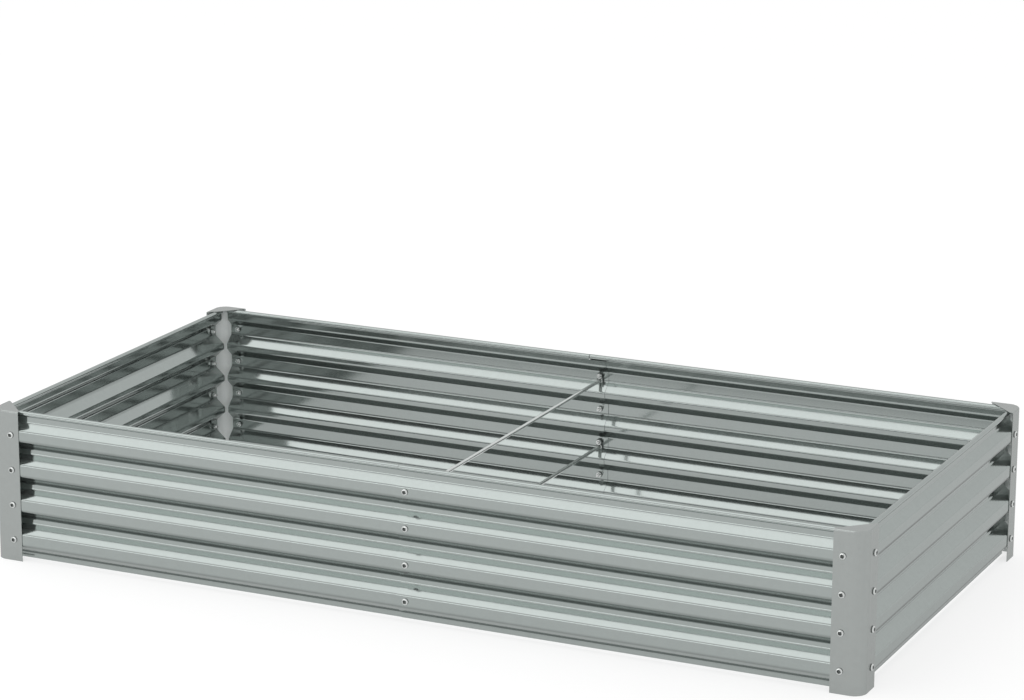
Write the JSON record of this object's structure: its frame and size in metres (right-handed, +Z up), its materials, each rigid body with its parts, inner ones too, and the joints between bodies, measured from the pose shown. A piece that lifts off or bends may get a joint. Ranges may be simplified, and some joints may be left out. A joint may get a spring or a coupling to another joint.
{
  "type": "raised garden bed",
  "caption": "Long low raised garden bed of bolted corrugated sheet panels with rounded corner posts and cross tie rods, open at top and bottom.",
  "frame": {"origin": "centre of the bed's footprint, on the ground", "axes": "+X along the length to the right, +Y from front to back, +Z up"},
  "size_m": [1.8072, 0.9072, 0.304],
  "materials": {
    "post_zinc": "smooth zinc-coated sheet, gloss, slightly green grey",
    "panel_zinc": "smooth bright zinc-coated sheet, gloss",
    "tie_rod_zinc": "zinc-plated round bar, semi-gloss",
    "bolt_zinc": "bright zinc plating, gloss",
    "nut_zinc": "bright zinc plating, gloss",
    "washer_zinc": "bright zinc plating, gloss"
  },
  "bodies": {
    "root": {"post_front_left": "post_zinc", "post_front_right": "post_zinc", "post_back_left": "post_zinc", "post_back_right": "post_zinc", "front_panel_left": "panel_zinc", "front_panel_right": "panel_zinc", "back_panel_left": "panel_zinc", "back_panel_right": "panel_zinc", "side_panel_left": "panel_zinc", "side_panel_right": "panel_zinc", "tie_rod_upper": "tie_rod_zinc", "tie_rod_lower": "tie_rod_zinc", "bolts_front_left_long": "bolt_zinc", "bolts_front_left_short": "bolt_zinc", "bolts_front_right_long": "bolt_zinc", "bolts_front_right_short": "bolt_zinc", "bolts_back_left_long": "bolt_zinc", "bolts_back_left_short": "bolt_zinc", "bolts_back_right_long": "bolt_zinc", "bolts_back_right_short": "bolt_zinc", "bolts_front_middle": "bolt_zinc", "bolts_back_middle": "bolt_zinc", "nuts_front_left_long": "nut_zinc", "nuts_front_left_short": "nut_zinc", "nuts_front_right_long": "nut_zinc", "nuts_front_right_short": "nut_zinc", "nuts_back_left_long": "nut_zinc", "nuts_back_left_short": "nut_zinc", "nuts_back_right_long": "nut_zinc", "nuts_back_right_short": "nut_zinc", "nuts_front_middle": "nut_zinc", "nuts_back_middle": "nut_zinc", "washers_front_left_long": "washer_zinc", "washers_front_left_short": "washer_zinc", "washers_front_right_long": "washer_zinc", "washers_front_right_short": "washer_zinc", "washers_back_left_long": "washer_zinc", "washers_back_left_short": "washer_zinc", "washers_back_right_long": "washer_zinc", "washers_back_right_short": "washer_zinc", "washers_front_middle": "washer_zinc", "washers_back_middle": "washer_zinc"}
  },
  "joints": []
}
